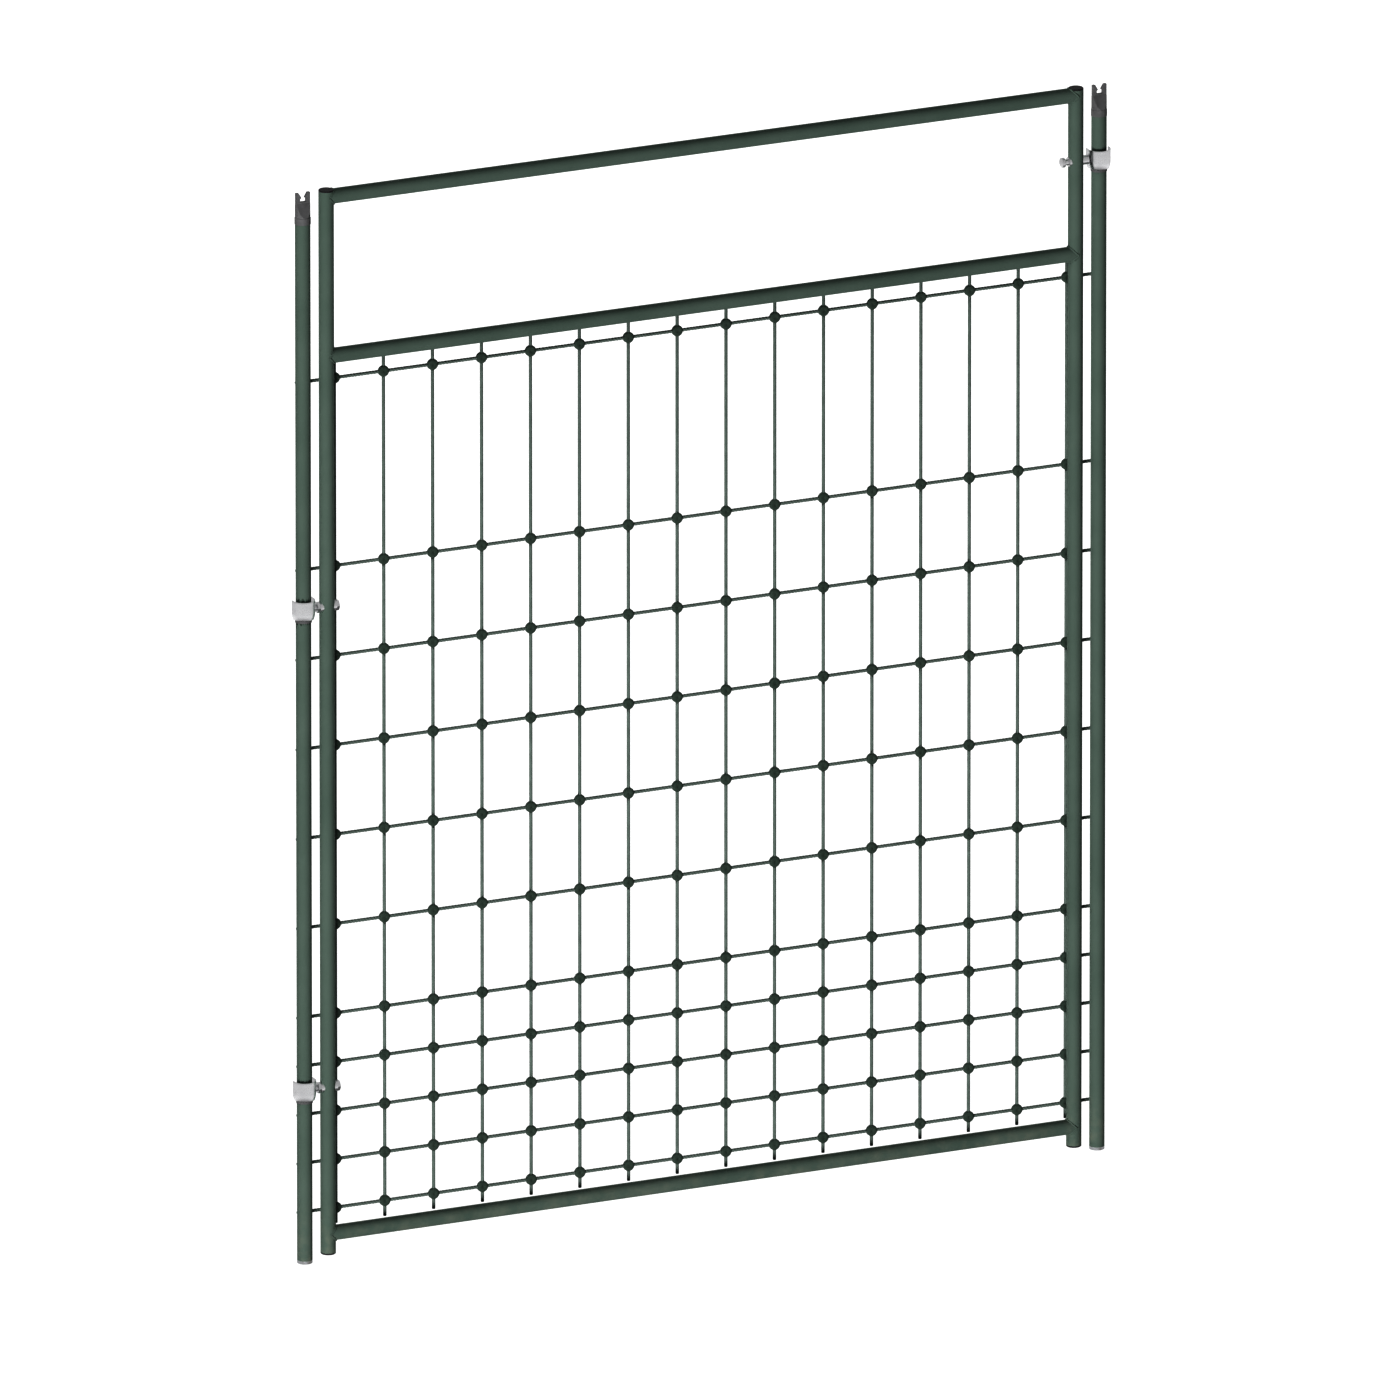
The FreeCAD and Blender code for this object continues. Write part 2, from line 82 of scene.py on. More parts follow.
# A Mix node's sockets while it mixes colours
MIX_FACTOR, MIX_FIRST, MIX_SECOND, MIX_RESULT = 0, 6, 7, 2
NOISE_ROUGHNESS = 0.55
DUST_TOP = 0.09         # how high above the ground dust clings
DUST = (0.20, 0.19, 0.15)
SOIL = (0.20, 0.16, 0.12)
PAINT_SPECK = (0.16, 0.20, 0.165)
SPANGLE = ((0.46, 0.47, 0.48), (0.62, 0.63, 0.65))
ZINC_TONE = 0.88
ZINC_DULL = 0.84        # share of the tone that is left in a dull patch
ZINC_ROUGHNESS = 0.27
FLOOR_GLOW = 0.965
FLOOR_GREYS = ((0.10,) * 3, (0.12,) * 3)


class Wire:
    """A socket's output that can be used in sums."""

    def __init__(self, nodes, socket):
        self.nodes = nodes
        self.socket = socket

    def _math(self, operation, first, second):
        return self.nodes.node("ShaderNodeMath", {"operation": operation},
                               {0: first, 1: second})

    def __add__(self, other):
        return self._math("ADD", self, other)

    def __radd__(self, other):
        return self._math("ADD", other, self)

    def __sub__(self, other):
        return self._math("SUBTRACT", self, other)

    def __rsub__(self, other):
        return self._math("SUBTRACT", other, self)

    def __mul__(self, other):
        return self._math("MULTIPLY", self, other)

    def __rmul__(self, other):
        return self._math("MULTIPLY", other, self)


def set_stops(ramp, stops):
    """Greys along a ramp: each stop is a position and a brightness."""
    while len(ramp.elements) < len(stops):
        ramp.elements.new(1.0)
    for element, (position, grey) in zip(ramp.elements, stops):
        element.position = position
        element.color = (grey, grey, grey, 1)


class Nodes:
    """A node tree, built up from nodes that take values or each other's outputs."""

    def __init__(self, tree):
        self.tree = tree

    def node(self, kind, settings=None, inputs=None, out=0):
        made = self.tree.nodes.new(kind)
        for key, value in (settings or {}).items():
            if key == "stops":
                set_stops(made.color_ramp, value)
            else:
                setattr(made, key, value)
        for key, value in (inputs or {}).items():
            self.feed(made.inputs[key], value)
        return Wire(self, made.outputs[out])

    def feed(self, socket, value):
        if isinstance(value, Wire):
            self.tree.links.new(value.socket, socket)
        else:
            socket.default_value = value

    def range(self, value, low, high, to_low=0.0, to_high=1.0):
        return self.node("ShaderNodeMapRange", None, {
            "Value": value, "From Min": low, "From Max": high,
            "To Min": to_low, "To Max": to_high})

    def mix(self, mask, first, second):
        first = first if isinstance(first, Wire) else (*first, 1)
        second = second if isinstance(second, Wire) else (*second, 1)
        return self.node("ShaderNodeMix", {"data_type": "RGBA"},
                         {MIX_FACTOR: mask, MIX_FIRST: first, MIX_SECOND: second}, MIX_RESULT)


class Finish(Nodes):
    """One material: a Principled shader and the nodes that feed it."""

    def __init__(self, name, **constants):
        self.material = bpy.data.materials.new(name)
        self.material.use_nodes = True
        super().__init__(self.material.node_tree)
        self.shader = self.tree.nodes["Principled BSDF"]
        self.place = self.node("ShaderNodeTexCoord", out="Object")
        for socket, value in constants.items():
            self.feed(self.shader.inputs[socket.replace("_", " ")], value)

    def stretched(self, scale):
        """Object coordinates scaled along each axis, to draw a pattern out."""
        return self.node("ShaderNodeMapping", None, {"Vector": self.place, "Scale": scale})

    def noise(self, scale, detail=3.0, place=None):
        return self.node("ShaderNodeTexNoise", None, {
            "Vector": place or self.place, "Scale": scale, "Detail": detail,
            "Roughness": NOISE_ROUGHNESS})

    def cells(self, scale, out="Distance"):
        return self.node("ShaderNodeTexVoronoi", None,
                         {"Vector": self.place, "Scale": scale}, out)

    def crystals(self, scale):
        """A grey of its own for each cell."""
        return self.node("ShaderNodeRGBToBW", None, {"Color": self.cells(scale, "Color")})

    def height(self):
        return self.node("ShaderNodeSeparateXYZ", None, {"Vector": self.place}, "Z")

    def colour(self, value):
        self.feed(self.shader.inputs["Base Color"], value)

    def roughness(self, value):
        self.feed(self.shader.inputs["Roughness"], value)

    def bump(self, height, distance, strength):
        """Relief of the given depth in metres."""
        normal = self.node("ShaderNodeBump", None, {
            "Height": height, "Distance": distance, "Strength": strength}, "Normal")
        self.feed(self.shader.inputs["Normal"], normal)


def powder_coat(name, green, deep):
    """Satin green powder coat: cloudy tone, orange peel, dust low on the tubes."""
    made = Finish(name, Specular_IOR_Level=0.12)
    cloud = made.range(made.noise(14.0, detail=4.0), 0.35, 0.7)
    speck = made.range(made.noise(900.0, detail=2.0), 0.66, 0.74)
    tone = made.mix(speck * 0.25, made.mix(cloud, green, deep), PAINT_SPECK)
    dust = made.range(made.height(), DUST_TOP, 0.0) * made.range(made.noise(60.0), 0.4, 0.75)
    made.colour(made.mix(dust * 0.35, tone, DUST))
    made.roughness(made.range(made.noise(45.0), 0.3, 0.7, 0.50, 0.60) + dust * 0.2)
    peel = made.noise(420.0, detail=2.0) + made.noise(1300.0, detail=1.0) * 0.25
    made.bump(peel, 0.12 * MM, 0.55)
    return made.material


def zinc_plate(name):
    """Bright zinc on pressed steel: faint crystals, rolling marks, dull patches."""
    made = Finish(name, Metallic=1.0)
    grey = made.crystals(260.0)
    patch = made.range(made.noise(120.0, detail=4.0), 0.35, 0.75)
    light = (ZINC_TONE, ZINC_TONE, ZINC_TONE * 1.01)
    dull = (ZINC_TONE * ZINC_DULL, ZINC_TONE * ZINC_DULL, ZINC_TONE * (ZINC_DULL + 0.02))
    made.colour(made.mix(grey * 0.25 + patch * 0.35, light, dull))
    marks = made.noise(700.0, place=made.stretched((1.0, 1.0, 9.0)))
    made.roughness(made.range(marks, 0.3, 0.7, ZINC_ROUGHNESS - 0.05, ZINC_ROUGHNESS + 0.09)
                   + patch * 0.06)
    made.bump(marks + grey * 0.3, 0.04 * MM, 0.5)
    return made.material


def galvanised(name):
    """Hot-dipped steel: grey spangle with soil stains."""
    made = Finish(name, Metallic=0.9)
    spangle = made.crystals(150.0)
    stain = made.range(made.noise(55.0, detail=5.0), 0.52, 0.72)
    made.colour(made.mix(stain * 0.6, made.mix(spangle, *SPANGLE), SOIL))
    made.roughness(spangle * 0.18 + stain * 0.25 + 0.38)
    made.bump(spangle + made.noise(500.0) * 0.4, 0.08 * MM, 0.5)
    return made.material


def moulded(name, dark, light, grain=900.0, rough=0.5):
    """Moulded plastic: eroded grain, a little bloom, fine scuffs."""
    made = Finish(name, Specular_IOR_Level=0.2)
    bloom = made.range(made.noise(90.0, detail=4.0), 0.35, 0.72)
    scuffs = made.noise(300.0, detail=5.0, place=made.stretched((1.0, 1.0, 0.2)))
    scuff = made.range(scuffs, 0.60, 0.72)
    made.colour(made.mix(bloom * 0.7 + scuff * 0.3, dark, light))
    made.roughness(made.range(made.noise(grain, detail=2.0), 0.3, 0.7, rough - 0.06, rough + 0.08)
                   + scuff * 0.06)
    made.bump(made.cells(grain) + made.noise(grain * 2.2, detail=1.0) * 0.5, 0.05 * MM, 0.6)
    return made.material


def twisted_strand(name, dark, light):
    """Stranded cord: fine filaments along the lay and a weathered tone."""
    made = Finish(name, Specular_IOR_Level=0.15)
    filaments = made.noise(2600.0, detail=2.0, place=made.stretched((0.25, 1.0, 1.0)))
    weather = made.range(made.noise(35.0, detail=4.0), 0.35, 0.7)
    made.colour(made.mix(made.range(filaments, 0.35, 0.7) * 0.5 + weather * 0.4, dark, light))
    made.roughness(made.range(filaments, 0.3, 0.7, 0.48, 0.66))
    made.bump(filaments, 0.12 * MM, 0.8)
    return made.material


def studio_floor(name):
    """Pale floor that glows, so the ground shows white with only a breath of shadow."""
    made = Finish(name, Roughness=0.9, Emission_Strength=1.0)
    cloud = made.noise(0.6)
    made.colour(made.mix(cloud, *FLOOR_GREYS))
    made.feed(made.shader.inputs["Emission Color"],
              made.mix(cloud, (FLOOR_GLOW,) * 3, (FLOOR_GLOW + 0.01,) * 3))
    return made.material


FINISHES = {
    "green_paint": powder_coat("green_powder_coat",
                               (0.075, 0.099, 0.085), (0.063, 0.086, 0.073)),
    "zinc": zinc_plate("bright_zinc"),
    "spike_steel": galvanised("dipped_steel"),
    "cap_plastic": moulded("cap_polymer", (0.080, 0.080, 0.081), (0.115, 0.115, 0.117)),
    "black_nylon": moulded("black_nylon", (0.012, 0.012, 0.013), (0.030, 0.030, 0.032),
                           rough=0.42),
    "strand": twisted_strand("net_strand", (0.074, 0.093, 0.083), (0.116, 0.143, 0.130)),
    "upright": moulded("upright_rod", (0.076, 0.095, 0.085), (0.116, 0.143, 0.130),
                       grain=1400.0),
    "knot": moulded("knot_polymer", (0.030, 0.043, 0.035), (0.046, 0.062, 0.052),
                    grain=700.0),
}

# ---- Modelling helpers ---------------------------------------------------------

MERGE_DISTANCE = 1e-6
CLOSE = 0.01 * MM       # how near two places count as the same
ELEMENTS = {"vertices": "VERT", "edges": "EDGE", "polygons": "FACE"}
TURNS = {"X": (0, math.pi / 2, 0), "Y": (-math.pi / 2, 0, 0), "Z": (0, 0, 0)}


def mode(name):
    bpy.ops.object.mode_set(mode=name)


def deselect():
    if bpy.context.object and bpy.context.object.mode != "OBJECT":
        mode("OBJECT")
    bpy.ops.object.select_all(action="DESELECT")


def activate(piece):
    deselect()
    piece.select_set(True)
    bpy.context.view_layer.objects.active = piece


def primitive(add, name, **settings):
    deselect()
    add(**settings)
    piece = bpy.context.object
    piece.name = name
    return piece


def apply_modifier(piece, kind, **settings):
    activate(piece)
    modifier = piece.modifiers.new(kind.lower(), kind)
    for key, value in settings.items():
        setattr(modifier, key, value)
    bpy.ops.object.modifier_apply(modifier=modifier.name)


def settle(piece, offset=(0, 0, 0)):
    """Moves the piece, then leaves its object at the origin, unturned and unscaled."""
    activate(piece)
    bpy.ops.transform.translate(value=offset)
    bpy.ops.object.transform_apply(location=True, rotation=True, scale=True)


def select_mesh():
    """Selects the whole mesh that is being edited."""
    bpy.ops.mesh.select_all(action="SELECT")


def select_where(piece, domain, test):
    """Selects only the vertices, edges or faces that test says yes to, for editing."""
    activate(piece)
    mode("EDIT")
    bpy.ops.mesh.select_mode(type=ELEMENTS[domain])
    bpy.ops.mesh.select_all(action="DESELECT")
    mode("OBJECT")
    for item in getattr(piece.data, domain):
        item.select = test(item)
    mode("EDIT")


def extrude(offset):
    bpy.ops.mesh.extrude_region_move(TRANSFORM_OT_translate={"value": offset})


def resize(factors, centre):
    bpy.ops.transform.resize(value=factors, center_override=tuple(centre))


def close_up(piece):
    """Merges doubles, fills open ends and turns every face outwards."""
    activate(piece)
    mode("EDIT")
    select_mesh()
    bpy.ops.mesh.remove_doubles(threshold=MERGE_DISTANCE)
    bpy.ops.mesh.fill_holes(sides=0)
    bpy.ops.mesh.normals_make_consistent(inside=False)
    mode("OBJECT")


def smooth(piece, degrees):
    """Smooth shading, except where faces meet at more than this angle."""
    activate(piece)
    bpy.ops.object.shade_smooth_by_angle(angle=math.radians(degrees))


def joined(pieces, name):
    deselect()
    for piece in pieces:
        piece.select_set(True)
    bpy.context.view_layer.objects.active = pieces[0]
    bpy.ops.object.join()
    pieces[0].name = name
    return pieces[0]


def copy_at(piece, offset):
    twin = piece.copy()
    twin.data = piece.data.copy()
    bpy.context.collection.objects.link(twin)
    settle(twin, offset)
    return twin


def paint(piece, slot):
    piece.data.materials.clear()
    piece.data.materials.append(FINISHES[slot])


def fit(piece, body, slot, *nodes):
    """Gives a finished piece its material and its body, and hides the CAD nodes it stands for."""
    paint(piece, slot)
    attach(piece, body)
    if nodes:
        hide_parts(*nodes)
    return piece


def lathe(name, profile, sides, axis="Z"):
    """A turned solid, drawn out ring by ring from (radius, height) pairs, at the origin."""
    radius, height = profile[0]
    piece = primitive(bpy.ops.mesh.primitive_circle_add, name, vertices=sides,
                      radius=radius, location=(0, 0, height))
    mode("EDIT")
    select_mesh()
    for next_radius, next_height in profile[1:]:
        extrude((0, 0, next_height - height))
        ratio = next_radius / radius
        resize((ratio, ratio, 1), (0, 0, next_height))
        radius, height = next_radius, next_height
    mode("OBJECT")
    settle(piece)
    close_up(piece)
    piece.rotation_euler = TURNS[axis]
    settle(piece)
    return piece


# ---- Net -----------------------------------------------------------------------

STRAND_LAY = 13.5 * MM
STRAND_STEPS = 8
STRAND_SMOOTH = 60
LOBES = 3
LOBE_POINTS = 4
LOBE_SHAPE = ((2, 0.82), (1, 0.98), (3, 0.98))      # point in a lobe, share of the radius
ROD_SIDES = 16
ROD_FLUTE = 0.94              # share of the radius at the bottom of a flute
ROD_CHAMFER = 0.5 * MM
ROD_SMOOTH = 50
KNOT_FLASH = 0.4 * MM         # moulding flash round the rim
KNOT_RIM = 1.9 * MM           # half the rim's thickness
# A face of the button from its middle outwards: radius, and depth below the face plane
KNOT_FACE = ((1.1 * MM, 0.5 * MM), (1.6 * MM, 0.1 * MM), (5.0 * MM, 0.1 * MM),
             (6.8 * MM, 0.7 * MM))
KNOT_SIDES = 16
KNOT_SMOOTH = 40
SLEEVE_ROOT = 1.0 * MM        # how far inside the rim a sleeve starts
SLEEVE_REACH = 0.25 * MM      # and how far outside it ends
SLEEVE_ROOT_WALL = 0.25 * MM
SLEEVE_END_WALL = 0.15 * MM
SLEEVE_SIDES = 10


def strand_section(name, centre):
    """Three-lobed section of a laid cord, in a plane across X."""
    piece = primitive(bpy.ops.mesh.primitive_circle_add, name, vertices=LOBES * LOBE_POINTS,
                      radius=STRAND_R, location=tuple(centre), rotation=TURNS["X"])
    for place_in_lobe, share in LOBE_SHAPE:
        select_where(piece, "vertices", lambda v: v.index % LOBE_POINTS == place_in_lobe)
        resize((share, share, share), centre)
    mode("OBJECT")
    return piece


def twisted_line(node):
    """A net line: the section wound along the line."""
    low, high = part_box(node)
    piece = strand_section(node + "_cord", Vector((low.x, NET_Y, (low.z + high.z) / 2)))
    length = high.x - low.x
    turns = round(length / STRAND_LAY)
    activate(piece)
    bpy.ops.object.transform_apply(location=False, rotation=True, scale=True)
    apply_modifier(piece, "SCREW", axis="X", screw_offset=length / turns, iterations=turns,
                   steps=STRAND_STEPS, render_steps=STRAND_STEPS, angle=2 * math.pi)
    settle(piece)
    close_up(piece)
    smooth(piece, STRAND_SMOOTH)
    fit(piece, "gate", "strand", node)


def repeat_along_gate(piece):
    """Repeats a piece at every upright."""
    apply_modifier(piece, "ARRAY", count=UPRIGHT_COUNT, use_relative_offset=False,
                   use_constant_offset=True, constant_offset_displace=(UPRIGHT_PITCH, 0, 0))


def upright_rods():
    """Fluted plastic rods, one modelled and the rest in a row beside it."""
    low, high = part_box("net_uprights")
    length = high.z - low.z
    rod = lathe("net_rods", [(STRAND_R - ROD_CHAMFER, 0), (STRAND_R, ROD_CHAMFER),
                             (STRAND_R, length - ROD_CHAMFER),
                             (STRAND_R - ROD_CHAMFER, length)], ROD_SIDES)
    foot = Vector((FIRST_UPRIGHT_X, NET_Y, low.z))
    settle(rod, tuple(foot))

    def in_flute(vertex):
        out = vertex.co - foot
        return round(math.atan2(out.y, out.x) / (2 * math.pi) * ROD_SIDES) % 2 == 1

    select_where(rod, "vertices", in_flute)
    resize((ROD_FLUTE, ROD_FLUTE, 1), foot)
    mode("OBJECT")
    repeat_along_gate(rod)
    smooth(rod, ROD_SMOOTH)
    fit(rod, "gate", "upright", "net_uprights")


def knot_button():
    """One moulded knot at the origin: a crowned button with a sleeve for each strand."""
    half = KNOT_T / 2
    rim = KNOT_R + KNOT_FLASH
    profile = [(radius, depth - half) for radius, depth in KNOT_FACE]
    profile += [(rim, -KNOT_RIM), (rim, KNOT_RIM)]
    profile += [(radius, half - depth) for radius, depth in reversed(KNOT_FACE)]
    pieces = [lathe("knot_button", profile, KNOT_SIDES, "Y")]
    for axis, way in (("X", 1), ("X", -1), ("Z", 1), ("Z", -1)):
        rings = [(STRAND_R + SLEEVE_ROOT_WALL, way * (rim - SLEEVE_ROOT)),
                 (STRAND_R + SLEEVE_END_WALL, way * (rim + SLEEVE_REACH))]
        rings.sort(key=lambda ring: ring[1])
        pieces.append(lathe("knot_sleeve", rings, SLEEVE_SIDES, axis))
    return joined(pieces, "net_knot_buttons")


def knot_rows():
    """A row of knots along each net line."""
    rows = []
    pattern = knot_button()
    for level in LINE_LEVELS:
        row = copy_at(pattern, (FIRST_UPRIGHT_X, NET_Y, level))
        repeat_along_gate(row)
        rows.append(row)
    bpy.data.objects.remove(pattern)
    knots = joined(rows, "net_knot_buttons")
    smooth(knots, KNOT_SMOOTH)
    fit(knots, "gate", "knot", "net_knots")


# ---- Frame welds ---------------------------------------------------------------

WELD_R = 1.1 * MM
WELD_RIPPLES = 44
WELD_RIPPLE_DEPTH = 0.16 * MM
WELD_SIDES = 8
WELD_SEAM = 0.2 * MM          # how near the mirrored halves' edges are merged
WELD_SMOOTH = 60


def ground_flush(bead, level):
    """Takes off what stands above the rail."""
    select_where(bead, "vertices", lambda v: True)
    bpy.ops.mesh.bisect(plane_co=(0, 0, level), plane_no=(0, 0, 1), clear_outer=True,
                        use_fill=True)
    mode("OBJECT")


def weld_bead(stile, rail):
    """A rippled bead along the line where a rail's fish mouth meets its stile.

    The two tubes are equally wide, so that line is two half ellipses at 45 degrees.
    """
    way = 1 if stile == "hinge" else -1
    bead = primitive(bpy.ops.mesh.primitive_torus_add, "weld_" + stile + "_" + rail,
                     align="WORLD", location=(0, 0, 0), rotation=TURNS["X"],
                     major_segments=2 * WELD_RIPPLES, minor_segments=WELD_SIDES,
                     major_radius=TUBE_R, minor_radius=WELD_R)
    settle(bead)
    select_where(bead, "vertices", lambda v: v.index // WELD_SIDES % 2 == 0)
    bpy.ops.transform.shrink_fatten(value=WELD_RIPPLE_DEPTH)
    select_mesh()
    bpy.ops.mesh.bisect(plane_co=(0, 0, 0), plane_no=(0, 0, 1), clear_inner=True)
    select_mesh()
    resize((1, 1, math.sqrt(2)), (0, 0, 0))
    mode("OBJECT")
    bead.rotation_euler.y = way * math.pi / 4
    settle(bead)
    apply_modifier(bead, "MIRROR", use_axis=(False, False, True), use_clip=True,
                   merge_threshold=WELD_SEAM)
    settle(bead, (middle(stile + "_stile").x, 0, middle(rail + "_rail").z))
    close_up(bead)
    if rail == "top":
        ground_flush(bead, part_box("top_rail")[1].z)
    smooth(bead, WELD_SMOOTH)
    fit(bead, "gate", "green_paint")


# ---- Clamp saddles -------------------------------------------------------------

SADDLE_WALL = 1.4 * MM
SADDLE_SIDES = 72
# Share of the height, and how far the wall stands inside the widest place: the foot
# is rolled in, the body is straight and the top lip is flared.
SADDLE_RINGS = ((0.0, 2.0 * MM), (0.04, 1.6 * MM), (0.10, 1.2 * MM), (0.18, 0.7 * MM),
                (0.27, 0.35 * MM), (0.36, 0.2 * MM), (0.78, 0.2 * MM), (0.90, 0.1 * MM),
                (1.0, 0.0))
SADDLE_SHORT_LEG = 3.0 * MM
SADDLE_EDGE = 0.3 * MM
SADDLE_SMOOTH = 40            # edges sharper than this are rounded
STRIKE_HOLE_R = 4.6 * MM
DRILL_SIDES = 48


def saddle_plan(node, long_way):
    """Outline of the strip from above: half a ring in front, with a leg at each end."""
    low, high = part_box(node)
    radius = (high.x - low.x) / 2
    centre = Vector(((low.x + high.x) / 2, 0, low.z))
    piece = primitive(bpy.ops.mesh.primitive_circle_add, node + "_pressed",
                      vertices=SADDLE_SIDES, radius=radius, location=tuple(centre))
    bpy.ops.object.transform_apply(location=True, rotation=True, scale=True)
    select_where(piece, "vertices", lambda v: v.co.y > CLOSE)
    bpy.ops.mesh.delete(type="VERT")
    for way, leg in ((long_way, high.y), (-long_way, SADDLE_SHORT_LEG)):
        select_where(piece, "vertices", lambda v: way * (v.co.x - centre.x) > radius - CLOSE)
        extrude((0, leg, 0))
    return piece, centre, radius, high.z - low.z


def pressed_saddle(node, body, long_way):
    """Strip bent round the front of a post and rolled at its edges."""
    piece, centre, radius, height = saddle_plan(node, long_way)
    select_mesh()
    share, inset = SADDLE_RINGS[0]
    ratio = (radius - inset) / radius
    resize((ratio, ratio, 1), centre)
    for next_share, next_inset in SADDLE_RINGS[1:]:
        extrude((0, 0, (next_share - share) * height))
        ratio = (radius - next_inset) / (radius - inset)
        resize((ratio, ratio, 1), centre)
        share, inset = next_share, next_inset
    select_mesh()
    bpy.ops.mesh.normals_make_consistent(inside=False)
    mode("OBJECT")
    front = min(piece.data.polygons, key=lambda face: face.center.y)
    if front.normal.y > 0:
        mode("EDIT")
        bpy.ops.mesh.flip_normals()
        mode("OBJECT")
    apply_modifier(piece, "SOLIDIFY", thickness=SADDLE_WALL, offset=-1, use_even_offset=True)
    apply_modifier(piece, "BEVEL", width=SADDLE_EDGE, segments=2, limit_method="ANGLE",
                   angle_limit=math.radians(SADDLE_SMOOTH))
    smooth(piece, SADDLE_SMOOTH)
    return fit(piece, body, "zinc", node)


def strike_saddle():
    """The saddle on the latch post, with the hole that the bolt is thrown into."""
    piece = pressed_saddle("strike_saddle", "posts", -1)
    low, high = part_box("strike_saddle")
    drill = primitive(bpy.ops.mesh.primitive_cylinder_add, "drill", vertices=DRILL_SIDES,
                      radius=STRIKE_HOLE_R, depth=6 * STRIKE_HOLE_R,
                      location=(low.x, 0, (low.z + high.z) / 2), rotation=TURNS["X"])
    apply_modifier(piece, "BOOLEAN", operation="DIFFERENCE", object=drill, solver="EXACT")
    bpy.data.objects.remove(drill)
    smooth(piece, SADDLE_SMOOTH)


# ---- Hardware ------------------------------------------------------------------

THREAD_PITCH = 1.25 * MM
THREAD_DEPTH = 0.62 * MM
STUD_PLAIN = 3.4 * MM         # length without thread at the saddle's end
STUD_SIDES = 24
KNURLS = 28
KNURL_DEPTH = 0.4 * MM
KNURL_SLOPE = 0.12 * MM
KNOB_EYE_R = 1.5 * MM
KNOB_CROWN = 0.15 * MM
KNOB_CROWN_EDGE = 1.6         # in edge widths
KNOB_EDGE = 0.7 * MM
METAL_SMOOTH = 30


def left_end(node):
    """Middle of a node's -X end."""
    low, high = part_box(node)
    return low.x, (low.y + high.y) / 2, (low.z + high.z) / 2


def threaded_stud(node):
    """An M8 stud with thread crests along it and a chamfered tip."""
    low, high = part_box(node)
    radius, length = (high.z - low.z) / 2, high.x - low.x
    profile = [(radius - THREAD_DEPTH, 0), (radius, THREAD_DEPTH), (radius, STUD_PLAIN)]
    crest = STUD_PLAIN
    while crest + THREAD_PITCH < length - THREAD_DEPTH:
        profile += [(radius - THREAD_DEPTH, crest + THREAD_PITCH / 2),
                    (radius, crest + THREAD_PITCH)]
        crest += THREAD_PITCH
    profile += [(radius, length - THREAD_DEPTH), (radius - THREAD_DEPTH, length)]
    piece = lathe(node + "_threaded", profile, STUD_SIDES, "X")
    settle(piece, left_end(node))
    smooth(piece, METAL_SMOOTH)
    fit(piece, "gate", "zinc", node)


def knurled_knob():
    """The bolt's pull knob: crowned face, cut flutes round its rim."""
    low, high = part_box("latch_knob")
    radius, length = (high.z - low.z) / 2, high.x - low.x
    profile = [(KNOB_EYE_R, 0), (radius - KNOB_EDGE * KNOB_CROWN_EDGE, KNOB_CROWN),
               (radius, KNOB_EDGE), (radius, length - KNOB_EDGE), (radius - KNOB_EDGE, length)]
    piece = lathe("bolt_knob", profile, 2 * KNURLS, "X")
    settle(piece, left_end("latch_knob"))
    centre = (low + high) / 2

    def in_flute(face):
        out = face.center - centre
        flute = math.floor(math.atan2(out.z, out.y) / (math.pi / KNURLS))
        return abs(face.normal.x) < 0.1 and flute % 2 == 0

    select_where(piece, "polygons", in_flute)
    bpy.ops.mesh.inset(thickness=KNURL_SLOPE, depth=-KNURL_DEPTH, use_individual=True)
    mode("OBJECT")
    smooth(piece, METAL_SMOOTH)
    fit(piece, "bolt", "zinc", "latch_knob")


# ---- Making --------------------------------------------------------------------

slots = {part["node"]: part["material_slot"] for part in frame["record"]["subparts"]}
for name, shown in frame["nodes"].items():
    paint(shown, slots[name])

for line in LINES:
    twisted_line(line)
upright_rods()
knot_rows()
for stile in STILES:
    for rail in RAILS:
        weld_bead(stile, rail)
for side in ("upper", "lower"):
    threaded_stud(side + "_hinge_stud")
    pressed_saddle(side + "_hinge_saddle", "gate", 1)
strike_saddle()
knurled_knob()

# ---- Stage ---------------------------------------------------------------------

VIEW_AZIMUTH = -25.0
VIEW_ELEVATION = 17.5
VIEW_WIDTH = 1.823
AIM = Vector((0.5676, 0, 0.6918))
LENS = 1500.0                 # so long that the view is nearly parallel
SENSOR = 36.0
CLIP_END = 300.0
VIEW_GAMMA = 0.62             # below 1 deepens the mid tones
FLOOR_SIZE = 90.0
# Height from nadir 0 to zenith 1, and brightness there
MATT_SKY = ((0.30, 0.03), (0.70, 0.01))
GLOSS_SKY = ((0.0, 0.08), (0.10, 0.20), (0.24, 1.15), (0.36, 0.70), (0.60, 0.62), (1.0, 0.56))
LAMP_DISTANCE = 14.0
LAMP_SIZE = 5.0
# Name, azimuth and elevation in degrees, and power in watts
LAMPS = (
    ("key_low_left", -42.0, -18.0, 4700.0),
    ("lift_low_front", -8.0, -32.0, 450.0),
    ("top_left", -50.0, 60.0, 1200.0),
    ("fill_right", 122.0, 8.0, 3600.0),
    ("fill_back", 190.0, 8.0, 4200.0),
)


def aim(thing, azimuth, elevation, distance):
    """Puts a camera or lamp on that side of the object, in degrees, and points it there."""
    azimuth, elevation = math.radians(azimuth), math.radians(elevation)
    towards = Vector((math.sin(azimuth) * math.cos(elevation),
                      -math.cos(azimuth) * math.cos(elevation), math.sin(elevation)))
    thing.location = AIM + towards * distance
    thing.rotation_mode = "QUATERNION"
    thing.rotation_quaternion = (-towards).to_track_quat("-Z", "Y")


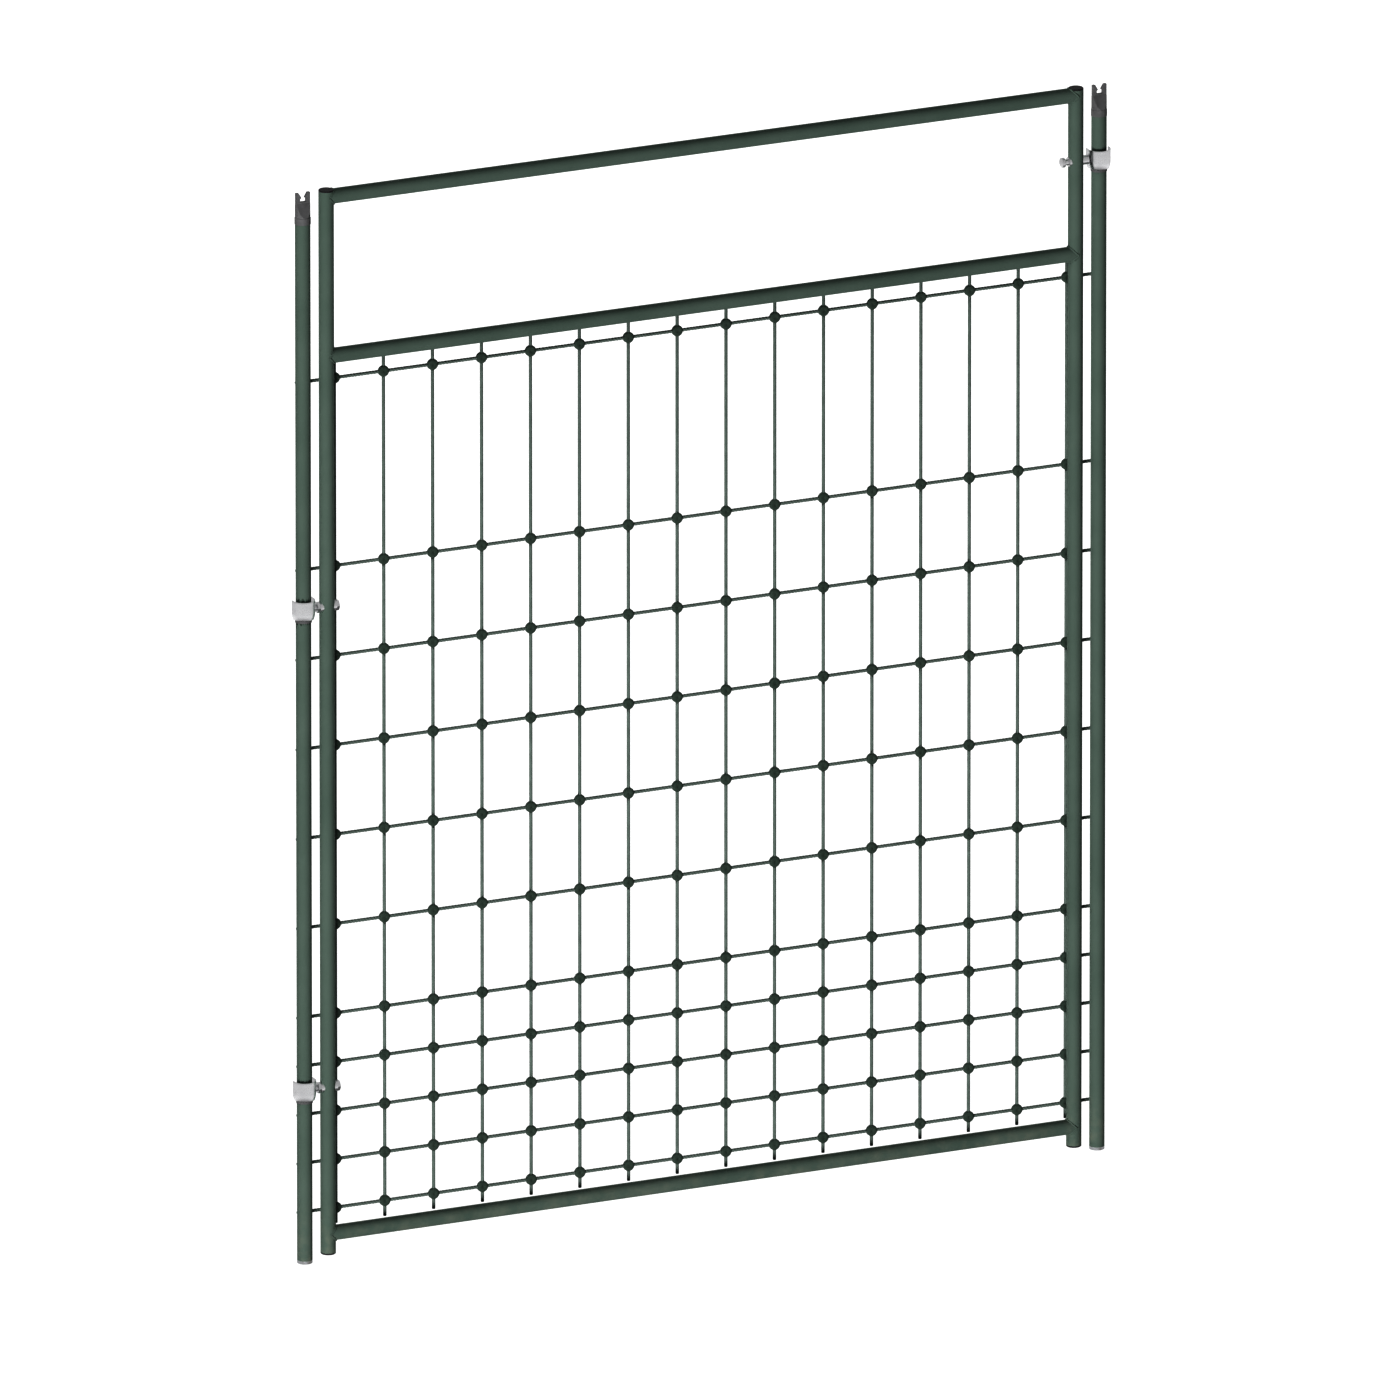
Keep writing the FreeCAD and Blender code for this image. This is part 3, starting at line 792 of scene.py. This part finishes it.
def make_camera():
    camera = bpy.data.objects.new("camera", bpy.data.cameras.new("camera"))
    bpy.context.collection.objects.link(camera)
    camera.data.lens = LENS
    camera.data.sensor_width = SENSOR
    camera.data.clip_end = CLIP_END
    aim(camera, VIEW_AZIMUTH, VIEW_ELEVATION, LENS * VIEW_WIDTH / SENSOR)
    bpy.context.scene.camera = camera


def soft_light(name, azimuth, elevation, power):
    lamp = bpy.data.objects.new(name, bpy.data.lights.new(name, "AREA"))
    bpy.context.collection.objects.link(lamp)
    lamp.data.shape = "RECTANGLE"
    lamp.data.size = lamp.data.size_y = LAMP_SIZE
    lamp.data.energy = power
    lamp.visible_glossy = False
    aim(lamp, azimuth, elevation, LAMP_DISTANCE)


def make_floor():
    """A light table: it glows white, and the lamps below it shine through."""
    floor = primitive(bpy.ops.mesh.primitive_plane_add, "floor", size=FLOOR_SIZE)
    floor.data.materials.append(studio_floor("floor_white"))
    floor.visible_diffuse = False
    floor.visible_glossy = False
    floor.visible_shadow = False


def make_world():
    """Soft surroundings: dim for the matt paint, pale where metal mirrors them, and
    as bright as the floor behind it all."""
    world = bpy.data.worlds.new("studio")
    bpy.context.scene.world = world
    world.use_nodes = True
    world.node_tree.nodes.clear()
    nodes = Nodes(world.node_tree)
    place = nodes.node("ShaderNodeTexCoord", out="Generated")
    up = nodes.node("ShaderNodeSeparateXYZ", None, {"Vector": place}, "Z")
    height = nodes.range(up, -1.0, 1.0)
    matt = nodes.node("ShaderNodeValToRGB", {"stops": MATT_SKY}, {"Fac": height})
    gloss = nodes.node("ShaderNodeValToRGB", {"stops": GLOSS_SKY}, {"Fac": height})
    mirrored = nodes.node("ShaderNodeLightPath", out="Is Glossy Ray")
    seen = nodes.node("ShaderNodeLightPath", out="Is Camera Ray")
    sky = nodes.mix(seen, nodes.mix(mirrored, matt, gloss), (1, 1, 1))
    light = nodes.node("ShaderNodeBackground", None, {"Color": sky})
    end = world.node_tree.nodes.new("ShaderNodeOutputWorld")
    nodes.feed(end.inputs["Surface"], light)


make_camera()
make_floor()
make_world()
for lamp in LAMPS:
    soft_light(*lamp)
bpy.context.scene.view_settings.view_transform = "Standard"
bpy.context.scene.view_settings.gamma = VIEW_GAMMA
